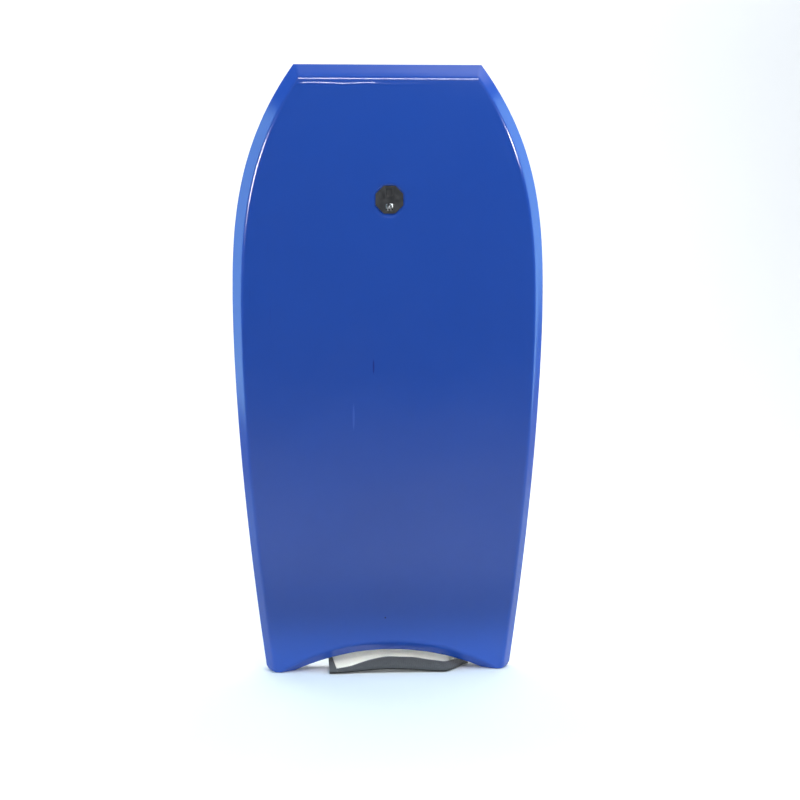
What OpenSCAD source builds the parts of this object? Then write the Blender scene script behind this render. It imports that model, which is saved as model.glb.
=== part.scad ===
// Bodyboard with a crescent tail, a two-part leash plug and a wrist leash, in millimetres.
// The board stands on its two tail tips: Z runs from the tail to the nose and X across the board.
// The slick faces -Y and the deck faces +Y. The origin is at the middle of the board's base.

/* [Board] */
// Length from the tail tips to the nose edge
board_length = 1040; // [1000:10:1080]
// Width at the widest point
board_width = 530; // [510:5:550]
// Length of the straight nose edge
nose_width = 320; // [290:5:340]
// Width over the two tail tips
tail_width = 420; // [405:5:435]
// Thickness of the flat part of the board
board_thickness = 52; // [48:1:56]
// Height of the widest point above the tail tips
wide_height = 640; // [600:10:680]
// Height at which the nose starts to curve towards the deck
rocker_height = 850; // [842:2:880]
// How far the nose edge is lifted towards the deck
nose_lift = 22; // [12:1:30]
// Height of the crescent tail's arch above the tips
tail_rise = 34; // [30:1:40]

/* [Edges] */
// Width of the slick-side chamfer at the nose
chamfer_nose = 24; // [20:1:28]
// Width of the slick-side chamfer at the tail tips
chamfer_tail = 13; // [11:1:15]
// Height of the chamfer along the tail arch
chamfer_arch = 17.5; // [14:0.5:20]
// Width of the deck-side chamfer as a share of the slick-side one
deck_share = 0.8; // [0.6:0.1:0.9]
// Thickness of the slick sheet
slick_sheet = 3; // [2:0.5:4]
// Thickness of the deck sheet
deck_sheet = 4; // [3:0.5:6]

/* [Leash plug] */
// Height of the plug's axis above the tail tips
plug_height = 812; // [790:2:815]
// Radius over the corners of the eight-sided flange on the slick
base_flange_r = 25.3; // [24:0.1:27]
// Radius of the round flange on the deck
cap_flange_r = 26; // [24:0.5:28]
// Outer radius of the plug's barrel
barrel_r = 20.5; // [20:0.1:21]

/* [Wrist leash] */
// Diameter of the leash cord
cord_d = 6; // [5.5:0.1:6]
// Diameter of the string that ties the leash to the plug
string_d = 3.4; // [3:0.1:3.6]
// Width of the wrist cuff
cuff_width = 56; // [54:1:58]

/* [Hidden] */

// How full the outline stays in front of and behind the widest point
front_fullness = 2.7;
rear_fullness = 1.65;
// Width of each tail tip's foot at the rail and at the slick face
tip_foot = 48;
tip_edge = 7;
// Roundness of each tip's outer corner there
foot_corner = 9;
edge_corner = 4;
// Points along the nose's curve, the rest of each side, each tip's corner and half the arch
nose_steps = 8;
side_steps = 22;
tip_steps = 4;
tail_steps = 14;

half = board_thickness / 2;
flange_height = 2.5;
// The rail's flat band lies between these depths, a little nearer the slick
band_front = -8;
band_back = 4;

// The board's mid-plane is shifted so that its whole depth, nose lift and flange included, is
// centred on the origin
back_depth = half + rocker(board_length - deck_share * chamfer_nose);
board_y = (half + flange_height - back_depth) / 2;

// Stations of the board's section: share of the chamfer, further inset, depth from the mid-plane
slick_face = [1, 0, -half];
slick_edge = [0, 0, band_front];
slick_edge_in = [0, 4, band_front];
core_front = [1, 3, slick_sheet - half];
core_back = [1, 3, half - deck_sheet];
deck_edge_in = [0, 5, band_back];
deck_edge = [0, 0, band_back];
deck_face = [deck_share, 0, half];

// The foam strips' section, from the deck sheet's edge round the core to the slick sheet's edge
strip_section = [deck_edge, deck_edge_in, core_back, core_front, slick_edge_in, slick_edge];

// --- Leash ---------------------------------------------------------------------------------
swivel_y = round(board_y + half + 10);
// From an eye's middle to where the cord leaves the moulded end
swivel_span = 70;
eye_ring_r = 6.5;
eye_wire_r = 1.5;
swivel_r = 5.5;
swivel_length = 20;
swivel_wall = 4;
pin_r = 1.5;
pin_head_r = 2.6;
pin_head = 2;
pin_reach = 7;
running_gap = 0.05;
neck = 5;
end_gap = 0.3;
upper_eye_z = 756;
lower_eye = [30, 46, 8];
// Each pin's head rests just inside its own end of the barrel
head_offset = swivel_length / 2 - swivel_wall - pin_head - end_gap;
barrel_offset = head_offset + pin_reach + neck + eye_ring_r;
cord_end_length = swivel_span - barrel_offset - head_offset - pin_reach - end_gap;

// The string runs from its knot in front of the plug's bar, under the bar, out of the deck,
// through the swivel's eye and back over the bar to the knot. Depth and height are measured
// from the plug's axis and the deck's face.
string_route = [
    [0, -44, -12.5], [0, -37, -12.2], [0, -29, -11], [0, -20, -10], [0, -8, -9], [0, 2, -12],
    [0, 5, -20], [0, 6, -34], [0, 6.5, -48], [0, 7, -54], [0, 10, -57.5], [0, 13, -54],
    [0, 13.5, -46], [0, 13.5, -34], [0, 13, -20], [0, 10.5, -6], [0, 5, 2], [0, -4, 4],
    [0, -12, 7], [0, -18, 7.5], [0, -24, 6], [0, -29, 2], [0, -33, -3], [0, -37.5, -7.5],
    [0, -44, -9]
];

// The cord hangs straight down behind the deck, turns along the floor, and doubles back twice
// to the cuff behind the tail
cord_route = [
    [0, 28, 686], [0, 28, 650], [0, 28, 600], [-1, 28, 540], [-2, 28, 480], [-3, 28, 420],
    [-3, 28, 360], [-2, 28, 300], [-1, 29, 240], [0, 29, 180], [0, 30, 130], [0, 31, 90],
    [3, 32, 62], [10, 33, 41], [20, 34, 29], [32, 35, 23.5], [46, 36, 16], [62, 37, 8],
    [78, 39, 4], [92, 42, 3.2], [108, 50, 3.2], [120, 66, 3.2], [120, 86, 3.2], [108, 103, 3.2],
    [88, 112, 3.2], [62, 115, 3.2], [34, 115, 3.2], [6, 114, 3.2], [-22, 113, 3.2],
    [-50, 110, 3.2], [-74, 100, 3.2], [-86, 82, 3.2], [-84, 63, 3.4], [-72, 51, 5],
    [-56, 46.5, 7.2], [-40, 46, 8]
];

// --- Cuff ----------------------------------------------------------------------------------
// The open cuff leans in the arch: its lower edge is on the floor, and its upper edge is tucked
// under the tail
cuff_left = -104;
cuff_right = 140;
cuff_steps = 36;
cuff_top_y = 5;
cuff_foot_z = 2.6;
cuff_hump = 5;
cuff_hump_length = 190;
cuff_turn_start = 92;
cuff_turn_back = 44;
cuff_turn_lift = 1;
arch_gap = 3.2;
shell_sheet = 2.5;
lining_sheet = 1.5;
binding_share = 0.42;

foam_core();
slick_skin();
deck_skin();
left_rail();
right_rail();
nose_strip();
tail_strip();
plug_base();
plug_cap();
leash_string();
string_knot();
upper_swivel_eye();
upper_swivel_barrel();
upper_cord_end();
leash_cord();
lower_cord_end();
lower_swivel_barrel();
lower_swivel_eye();
cuff_tab();
cuff_shell();
cuff_lining();
cuff_binding();
cuff_end_binding();
cuff_hook_patch();
cuff_loop_patch();

// --- General shapes ------------------------------------------------------------------------

function mix(a, b, t) = a + (b - a) * t;
function unit(v) = v / norm(v);
function backwards(list) = [for (i = [len(list) - 1 : -1 : 0]) list[i]];

// Two triangles between points a and b of one row and the same points of the next row. Their
// diagonal runs the other way when crossed is true.
function quad(a, b, next_b, next_a, crossed) =
    crossed ? [[a, b, next_a], [b, next_b, next_a]] : [[a, b, next_b], [a, next_b, next_a]];

// A solid through a row of closed sections with the same number of points. Its end faces fan
// out from each end section's first point.
module skin(sections, crossed = []) {
    m = len(sections[0]);
    last = (len(sections) - 1) * m;
    sides = [
        for (s = [0 : len(sections) - 2], j = [0 : m - 1])
            let (k = (j + 1) % m, a = s * m)
                each quad(a + j, a + k, a + m + k, a + m + j, len(crossed) > 0 && crossed[j])
    ];
    first_end = [for (j = [1 : m - 2]) [0, j + 1, j]];
    last_end = [for (j = [1 : m - 2]) [last, last + j, last + j + 1]];
    polyhedron(points = [for (s = sections) each s], faces = concat(sides, first_end, last_end));
}

// Points of a smooth curve through a route, with a share of each span taken in steps
function curve_point(p, q, r, s, t) =
    0.5 * (2 * q + (r - p) * t + (2 * p - 5 * q + 4 * r - s) * t * t
        + (3 * q - p - 3 * r + s) * t * t * t);
function smooth(route, steps) = let (n = len(route)) concat(
    [
        for (i = [0 : n - 2], k = [0 : steps - 1])
            curve_point(route[max(i - 1, 0)], route[i], route[i + 1], route[min(i + 2, n - 1)],
                k / steps)
    ],
    [route[n - 1]]
);
function heading(line, i) =
    unit(line[min(i + 1, len(line) - 1)] - line[max(i - 1, 0)]);

// A round tube along a line, with its sides carried along without twist
module tube(line, r, sides, start_side) {
    normals = [
        for (
            i = 0, n = start_side;
            i < len(line);
            i = i + 1,
            n = i < len(line) ? unit(n - (n * heading(line, i)) * heading(line, i)) : n
        ) n
    ];
    skin([
        for (i = [0 : len(line) - 1]) let (t = heading(line, i), b = cross(t, normals[i]))
            [
                for (j = [0 : sides - 1]) let (a = -360 * j / sides)
                    line[i] + r * (cos(a) * normals[i] + sin(a) * b)
            ]
    ]);
}

// --- Board ---------------------------------------------------------------------------------

function half_width(z) = 0.5 * (z > wide_height
    ? mix(board_width, nose_width,
        pow((z - wide_height) / (board_length - wide_height), front_fullness))
    : mix(board_width, tail_width, pow((wide_height - z) / wide_height, rear_fullness)));
function chamfer(z) = mix(chamfer_tail, chamfer_nose, pow(z / board_length, 3));
function rocker(z) =
    nose_lift * pow(max(0, z - rocker_height) / (board_length - rocker_height), 2);
function side_x(z, place) = half_width(z) - place[0] * chamfer(z) - place[1];

// Height of an arch of the given half chord and rise, at a distance x from its middle
function arch(x, chord, rise) = let (r = (chord * chord + rise * rise) / (2 * rise))
    rise - r + sqrt(r * r - x * x);

// Right half of the outline at one station: nose corner, side, tip corner, then the arch
function half_outline(place) = let (
    top = board_length - place[0] * chamfer_nose - place[1],
    foot = place[1],
    tip = mix(tip_foot, tip_edge, place[0]),
    corner = mix(foot_corner, edge_corner, place[0]),
    foot_x = side_x(foot, place),
    chord = foot_x - tip,
    rise = tail_rise + place[0] * chamfer_arch
) concat(
    [
        for (i = [0 : nose_steps]) let (z = mix(top, rocker_height, i / nose_steps))
            [side_x(z, place), z]
    ],
    [
        for (i = [1 : side_steps]) let (z = mix(rocker_height, foot + corner, i / side_steps))
            [side_x(z, place), z]
    ],
    [
        for (i = [1 : tip_steps]) let (a = 90 * i / tip_steps)
            [foot_x - corner * (1 - cos(a)), foot + corner * (1 - sin(a))]
    ],
    [
        for (i = [0 : tail_steps]) let (x = chord * (1 - i / tail_steps))
            [x, foot + arch(x, chord, rise)]
    ]
);

// The whole outline at one station, placed in depth
function ring(place) = let (right = half_outline(place), left = backwards(right)) [
    for (p = concat(right, [for (i = [1 : len(left) - 1]) [-left[i][0], left[i][1]]]))
        [p[0], board_y + place[2] + rocker(p[1]), p[1]]
];

// Points on the outline, and the last one on the right-hand tip's foot
outline_count = 2 * (nose_steps + side_steps + tip_steps + tail_steps) + 3;
tip_end = nose_steps + side_steps + tip_steps + 1;

// The face inside a ring: bands across the curved nose, and one flat face behind it
function ring_face(start) = let (n = outline_count) concat(
    [for (i = [0 : nose_steps - 1]) [for (k = [i, i + 1, n - 2 - i, n - 1 - i]) start + k]],
    [[for (i = [nose_steps : n - 1 - nose_steps]) start + i]]
);

// A closed layer of the board, whose surface runs through the stations from front to back
module layer(stations) {
    n = outline_count;
    last = (len(stations) - 1) * n;
    sides = [
        for (s = [0 : len(stations) - 2], i = [0 : n - 1])
            let (j = (i + 1) % n, a = s * n, b = a + n)
                each quad(a + i, b + i, b + j, a + j, stations[s][2] > stations[s + 1][2])
    ];
    polyhedron(
        points = [for (s = stations) each ring(s)],
        faces = concat(ring_face(0), sides, [for (f = ring_face(last)) backwards(f)])
    );
}

// A foam strip of the edge, along the outline's points from one to another
module edge_strip(first, last) {
    n = outline_count;
    m = len(strip_section);
    rings = [for (s = strip_section) ring(s)];
    skin(
        [for (i = [first : last]) [for (r = rings) r[i % n]]],
        crossed = [for (j = [0 : m - 1]) strip_section[j][2] > strip_section[(j + 1) % m][2]]
    );
}

// A cylinder along +Y on the plug's axis, from one depth to another from the mid-plane
module plug_cylinder(r, from, to, sides = 64) {
    translate([0, board_y + from, plug_height]) rotate([-90, 0, 0])
        cylinder(r = r, h = to - from, $fn = sides);
}

module plug_hole() {
    plug_cylinder(barrel_r + 0.1, -half - 5, half + 5);
}

module foam_core() {
    color("white") difference() {
        layer([core_front, core_back]);
        plug_hole();
    }
}

module slick_skin() {
    color("royalblue") difference() {
        layer([slick_face, slick_edge, slick_edge_in, core_front]);
        plug_hole();
    }
}

module deck_skin() {
    color("midnightblue") difference() {
        layer([core_back, deck_edge_in, deck_edge, deck_face]);
        plug_hole();
    }
}

module left_rail() {
    color("mediumblue") mirror([1, 0, 0]) edge_strip(0, tip_end);
}

module right_rail() {
    color("mediumblue") edge_strip(0, tip_end);
}

module nose_strip() {
    color("mediumblue") edge_strip(outline_count - 1, outline_count);
}

module tail_strip() {
    color("mediumblue") edge_strip(tip_end, outline_count - 1 - tip_end);
}

// --- Leash plug ----------------------------------------------------------------------------

barrel_wall = 2;
cap_barrel_r = barrel_r - barrel_wall - running_gap;
cap_bore_r = 16;
bar_r = 3;
bar_depth = 8;
base_floor = 3;
base_end = 12;
cap_end = -12;
window_width = 12;
window_height = 12;
window_offset = 13;
slot_offset = 12.4;
slot_depth = 2;

// A square cut into the base's flange, at a height above its middle
module plug_slot(height, depth) {
    translate([
        -window_width / 2,
        board_y - half - flange_height - 1,
        plug_height + height - window_height / 2
    ])
        cube([window_width, depth + 1, window_height]);
}

// Slick-side half: an eight-sided flange with a blind slot above and a window below, and an
// open barrel
module plug_base() {
    color("black") difference() {
        union() {
            translate([0, board_y - half - flange_height, plug_height]) rotate([-90, 0, 0])
                rotate([0, 0, 22.5]) cylinder(r = base_flange_r, h = flange_height, $fn = 8);
            plug_cylinder(barrel_r, -half, base_end);
        }
        plug_cylinder(barrel_r - barrel_wall, base_floor - half - flange_height, base_end + 1);
        plug_slot(slot_offset, slot_depth);
        plug_slot(-window_offset, base_floor + 1);
    }
}

// Deck-side half: a round flange, a barrel that goes inside the base's barrel, and the bar that
// the leash is tied to
module plug_cap() {
    color("black") union() {
        difference() {
            union() {
                plug_cylinder(cap_flange_r, half, half + flange_height);
                plug_cylinder(cap_barrel_r, cap_end, half);
            }
            plug_cylinder(cap_bore_r, cap_end - 1, half + flange_height + 1);
        }
        translate([-cap_bore_r - 1, board_y + bar_depth, plug_height])
            rotate([0, 90, 0]) cylinder(r = bar_r, h = 2 * cap_bore_r + 2, $fn = 32);
    }
}

// --- Wrist leash ---------------------------------------------------------------------------

module leash_string() {
    deck = [0, board_y + half, plug_height];
    color("white") tube(smooth([for (p = string_route) deck + p], 3), string_d / 2, 8, [1, 0, 0]);
}

// The string's knot in front of the bar, with its two tails
module string_knot() {
    knot = [0, board_y + half - 46, plug_height - 11.5];
    color("white") translate(knot) {
        cylinder(r = 4.5, h = 7, center = true, $fn = 32);
        for (side = [-1, 1])
            translate([side * 2.4, 0, -6]) cylinder(d = string_d, h = 6, $fn = 24);
    }
}

// A swivel's eye, standing on its pin: the pin's head is at the origin and the eye is above it
module swivel_eye() {
    translate([0, 0, pin_reach + neck + eye_ring_r]) rotate([90, 0, 0])
        rotate_extrude($fn = 48) translate([eye_ring_r, 0]) circle(r = eye_wire_r, $fn = 24);
    translate([0, 0, pin_reach + end_gap]) cylinder(r = 3.2, h = neck, $fn = 32);
    swivel_pin();
}

module swivel_pin() {
    cylinder(r = pin_head_r, h = pin_head, $fn = 32);
    cylinder(r = pin_r, h = pin_reach + neck / 2, $fn = 32);
}

// The hollow barrel that both pins turn in, centred on the origin along Z
module swivel_barrel() {
    difference() {
        union() {
            cylinder(r = swivel_r, h = swivel_length - 2, center = true, $fn = 48);
            cylinder(r = swivel_r - 1, h = swivel_length, center = true, $fn = 48);
        }
        cylinder(r = pin_r + running_gap, h = swivel_length + 2, center = true, $fn = 32);
        cylinder(r = pin_head_r + end_gap, h = swivel_length - 2 * swivel_wall, center = true,
            $fn = 32);
    }
}

// A moulded cord end with its pin: the pin's head is at the origin, and the cord leaves below
module cord_end() {
    rotate([180, 0, 0]) swivel_pin();
    translate([0, 0, -pin_reach - end_gap - cord_end_length]) rotate_extrude($fn = 48)
        polygon([
            [0, 0], [cord_d / 2 + 0.5, 0], [cord_d / 2 + 1, cord_end_length * 0.6],
            [swivel_r - 1, cord_end_length * 0.75], [swivel_r - 0.5, cord_end_length - 1.5],
            [swivel_r - 2, cord_end_length], [0, cord_end_length]
        ]);
}

module upper_place() {
    translate([0, swivel_y, upper_eye_z - barrel_offset]) children();
}

module lower_place() {
    translate([lower_eye[0] - barrel_offset, lower_eye[1], lower_eye[2]]) rotate([0, 90, 0])
        children();
}

module upper_swivel_eye() {
    color("silver") upper_place() translate([0, 0, head_offset]) swivel_eye();
}

module upper_swivel_barrel() {
    color("silver") upper_place() swivel_barrel();
}

module upper_cord_end() {
    color("black") upper_place() translate([0, 0, -head_offset]) cord_end();
}

module leash_cord() {
    color("black") tube(smooth(cord_route, 2), cord_d / 2, 8, [1, 0, 0]);
}

module lower_cord_end() {
    color("black") lower_place() translate([0, 0, -head_offset]) cord_end();
}

module lower_swivel_barrel() {
    color("silver") lower_place() swivel_barrel();
}

module lower_swivel_eye() {
    color("silver") lower_place() translate([0, 0, head_offset]) swivel_eye();
}

// --- Cuff ----------------------------------------------------------------------------------

function ease(t) = let (c = min(max(t, 0), 1)) c * c * (3 - 2 * c);
function turn(x) = ease((x - cuff_turn_start) / (cuff_right - cuff_turn_start));
function cuff_x(u) = mix(cuff_left, cuff_right, u);
function tail_arch(x) = arch(x, side_x(0, deck_edge) - tip_foot, tail_rise);
function cuff_foot(x) = cuff_foot_z + cuff_hump * (1 + cos(360 * x / cuff_hump_length)) / 2
    + cuff_turn_lift * turn(x);
function cuff_head(x) = tail_arch(x) - arch_gap;
function cuff_head_y(x) = cuff_top_y + cuff_turn_back * turn(x);

// A point of the cuff: u runs along it, v from its foot to its head, and h stands off its front
function cuff_point(u, v, h) = let (
    x = cuff_x(u),
    up = cuff_head(x) - cuff_foot(x),
    back = sqrt(cuff_width * cuff_width - up * up),
    foot_y = cuff_head_y(x) - back
) [
    x,
    foot_y + back * v - h * up / cuff_width,
    cuff_foot(x) + up * v + h * back / cuff_width
];

// A layer of the cuff between two shares of its length and width and two heights off its front
module cuff_layer(from, to, low, high, back, front) {
    steps = max(2, round(cuff_steps * (to - from)));
    skin([
        for (i = [0 : steps]) let (u = mix(from, to, i / steps))
            [
                cuff_point(u, low, back), cuff_point(u, low, front),
                cuff_point(u, high, front), cuff_point(u, high, back)
            ]
    ]);
}

module cuff_shell() {
    color("black") cuff_layer(0, 1, 0, 1, -shell_sheet, 0);
}

module cuff_lining() {
    color("ivory") cuff_layer(0.03, 1, binding_share, 0.97, 0, lining_sheet);
}

module cuff_binding() {
    color("dimgray") cuff_layer(0.03, 1, 0, binding_share, 0, shell_sheet);
}

module cuff_end_binding() {
    color("dimgray") cuff_layer(0, 0.03, 0, 0.97, 0, shell_sheet);
}

module cuff_loop_patch() {
    color("black") cuff_layer(0.04, 0.34, 0.15, 0.85, -shell_sheet - 1.2, -shell_sheet);
}

module cuff_hook_patch() {
    color("ivory") cuff_layer(0.86, 0.99, 0.52, 0.85, lining_sheet, lining_sheet + 1.2);
}

// A webbing loop through the lower swivel's eye, sewn to the back of the cuff
module cuff_tab() {
    web = 1.5;
    ring_top = lower_eye[2] + eye_ring_r;
    x = lower_eye[0];
    root = cuff_point((x - cuff_left) / (cuff_right - cuff_left), 0.5, -shell_sheet);
    tail = cuff_point((x - cuff_left) / (cuff_right - cuff_left), 0.75, -shell_sheet);
    inside = [
        [root[1] + web, root[2] + 1], [lower_eye[1] - 3, lower_eye[2] + 3],
        [lower_eye[1] + 2.2, lower_eye[2] + 3.5], [lower_eye[1] + 2.2, ring_top + 2.2],
        [lower_eye[1] - 3, ring_top + 2.2]
    ];
    outside = [
        [root[1], root[2]], [root[1] + web, root[2] - 1],
        [lower_eye[1] - 3, lower_eye[2] + 1.5], [lower_eye[1] + 3.7, lower_eye[2] + 2],
        [lower_eye[1] + 3.7, ring_top + 3.7], [lower_eye[1] - 3, ring_top + 3.7],
        [tail[1], tail[2]]
    ];
    color("black") translate([x - 4, 0, 0]) rotate([90, 0, 90]) linear_extrude(8) difference() {
        polygon(outside);
        polygon(inside);
    }
}
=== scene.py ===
"""The looks of a bodyboard with its wrist leash, in the CAD model's frame, in metres."""

import math

import bmesh
import bpy
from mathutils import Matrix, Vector, noise


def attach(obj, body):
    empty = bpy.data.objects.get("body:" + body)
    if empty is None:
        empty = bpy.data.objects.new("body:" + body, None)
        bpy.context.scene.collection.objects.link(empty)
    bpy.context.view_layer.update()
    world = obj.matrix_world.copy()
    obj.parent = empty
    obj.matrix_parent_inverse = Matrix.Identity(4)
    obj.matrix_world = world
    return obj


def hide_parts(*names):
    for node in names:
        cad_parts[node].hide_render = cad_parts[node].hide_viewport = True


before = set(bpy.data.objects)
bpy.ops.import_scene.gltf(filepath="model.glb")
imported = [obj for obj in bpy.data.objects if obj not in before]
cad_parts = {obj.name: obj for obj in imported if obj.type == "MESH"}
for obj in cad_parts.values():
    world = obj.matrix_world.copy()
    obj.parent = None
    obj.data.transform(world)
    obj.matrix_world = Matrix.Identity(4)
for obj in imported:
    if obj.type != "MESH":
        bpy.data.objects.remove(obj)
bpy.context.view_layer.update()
MM = 0.001

# --- The CAD source's driving sizes, in metres ----------------------------------------------

LENGTH = 1.04
BOARD_WIDTH = 0.53
NOSE_WIDTH = 0.32
TAIL_WIDTH = 0.42
HALF = 0.026
WIDE_Z = 0.64
ROCKER_Z = 0.85
NOSE_LIFT = 0.022
TAIL_RISE = 0.034
CHAMFER_NOSE = 0.024
CHAMFER_TAIL = 0.013
CHAMFER_ARCH = 0.0175
DECK_SHARE = 0.8
FRONT_FULLNESS = 2.7
REAR_FULLNESS = 1.65
TIP_FOOT = 0.048
TIP_EDGE = 0.007
FOOT_CORNER = 0.009
EDGE_CORNER = 0.004
FLANGE = 0.0025
PLUG_Z = 0.812
BARREL_R = 0.0205
BACK_DEPTH = HALF + NOSE_LIFT * ((LENGTH - DECK_SHARE * CHAMFER_NOSE - ROCKER_Z)
                                 / (LENGTH - ROCKER_Z)) ** 2
BOARD_Y = (HALF + FLANGE - BACK_DEPTH) / 2

CORD_D = 0.006
STRING_D = 0.0034
SWIVEL_Y = 0.028
UPPER_EYE_Z = 0.756
LOWER_EYE = Vector((0.030, 0.046, 0.008))
EYE_R = 0.0065
BARREL_OFFSET = 0.0222
SWIVEL_R = 0.0055
SWIVEL_LENGTH = 0.020
CORD_END_LENGTH = 0.0368
CORD_END_START = 0.011

CORD_ROUTE = [
    (0, 28, 686), (0, 28, 650), (0, 28, 600), (-1, 28, 540), (-2, 28, 480), (-3, 28, 420),
    (-3, 28, 360), (-2, 28, 300), (-1, 29, 240), (0, 29, 180), (0, 30, 130), (0, 31, 90),
    (3, 32, 62), (10, 33, 41), (20, 34, 29), (32, 35, 23.5), (46, 36, 16), (62, 37, 8),
    (78, 39, 4), (92, 42, 3.2), (108, 50, 3.2), (120, 66, 3.2), (120, 86, 3.2), (108, 103, 3.2),
    (88, 112, 3.2), (62, 115, 3.2), (34, 115, 3.2), (6, 114, 3.2), (-22, 113, 3.2),
    (-50, 110, 3.2), (-74, 100, 3.2), (-86, 82, 3.2), (-84, 63, 3.4), (-72, 51, 5),
    (-56, 46.5, 7.2), (-40, 46, 8),
]
# From the plug's axis and the deck's face
STRING_ROUTE = [
    (0, -44, -12.5), (0, -37, -12.2), (0, -29, -11), (0, -20, -10), (0, -8, -9), (0, 2, -12),
    (0, 5, -20), (0, 6, -34), (0, 6.5, -48), (0, 7, -54), (0, 10, -57.5), (0, 13, -54),
    (0, 13.5, -46), (0, 13.5, -34), (0, 13, -20), (0, 10.5, -6), (0, 5, 2), (0, -4, 4),
    (0, -12, 7), (0, -18, 7.5), (0, -24, 6), (0, -29, 2), (0, -33, -3), (0, -37.5, -7.5),
    (0, -44, -9),
]

# --- General shapes --------------------------------------------------------------------------


def mix(a, b, t):
    return a + (b - a) * t


def ease(t):
    t = min(max(t, 0.0), 1.0)
    return t * t * (3 - 2 * t)


def smooth(route, steps):
    """Points of a Catmull-Rom curve through a route in metres."""
    n = len(route)
    points = []
    for i in range(n - 1):
        p, q, r, s = (route[max(i - 1, 0)], route[i], route[i + 1], route[min(i + 2, n - 1)])
        for k in range(steps):
            t = k / steps
            points.append(
                0.5 * (2 * q + (r - p) * t + (2 * p - 5 * q + 4 * r - s) * t * t
                       + (3 * q - p - 3 * r + s) * t ** 3)
            )
    return points + [route[-1]]


def headings(line):
    return [
        (line[min(i + 1, len(line) - 1)] - line[max(i - 1, 0)]).normalized()
        for i in range(len(line))
    ]


def add_mesh(name, bm, material, body, nodes=(), sharp=40):
    """A shown piece from a bmesh, which rides on a body and may stand for CAD nodes."""
    data = bpy.data.meshes.new(name)
    bm.to_mesh(data)
    bm.free()
    for face in data.polygons:
        face.use_smooth = True
    data.set_sharp_from_angle(angle=math.radians(sharp))
    piece = bpy.data.objects.new(name, data)
    bpy.context.scene.collection.objects.link(piece)
    data.materials.append(material)
    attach(piece, body)
    if nodes:
        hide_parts(*nodes)
    return piece


def bridge(bm, first, second, closed=True):
    """Quads between two rows of vertices."""
    n = len(first)
    for i in range(n if closed else n - 1):
        j = (i + 1) % n
        bm.faces.new((first[i], first[j], second[j], second[i]))


def add_rows(bm, rows, closed=True, caps=True):
    """A skin through rows of points, with flat ends unless caps is off."""
    made = [[bm.verts.new(p) for p in row] for row in rows]
    for a, b in zip(made, made[1:]):
        bridge(bm, a, b, closed)
    if caps:
        bm.faces.new(list(reversed(made[0])))
        bm.faces.new(made[-1])


def outward(bm):
    bmesh.ops.recalc_face_normals(bm, faces=bm.faces)


def add_tube(bm, line, radius, sides, side, shape=None):
    """A tube along a line. shape(angle, distance) multiplies its radius."""
    normal = Vector(side)
    rows = []
    along = 0.0
    for i, (point, heading) in enumerate(zip(line, headings(line))):
        normal = (normal - heading * normal.dot(heading)).normalized()
        across = heading.cross(normal)
        along += (point - line[i - 1]).length if i else 0.0
        row = []
        for j in range(sides):
            a = 2 * math.pi * j / sides
            r = radius * (shape(a, along) if shape else 1.0)
            row.append(point + (normal * math.cos(a) + across * math.sin(a)) * r)
        rows.append(row)
    add_rows(bm, rows)


def add_lathe(bm, profile, centre, axis, sides, shape=None):
    """A turned solid. profile is a list of (radius, distance along the axis)."""
    axis = Vector(axis).normalized()
    normal = axis.orthogonal().normalized()
    across = axis.cross(normal)
    rows = []
    for radius, along in profile:
        row = []
        for j in range(sides):
            a = 2 * math.pi * j / sides
            r = radius * (shape(a, along) if shape else 1.0)
            row.append(centre + axis * along + (normal * math.cos(a) + across * math.sin(a)) * r)
        rows.append(row)
    add_rows(bm, rows)


# --- Materials -------------------------------------------------------------------------------


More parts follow.
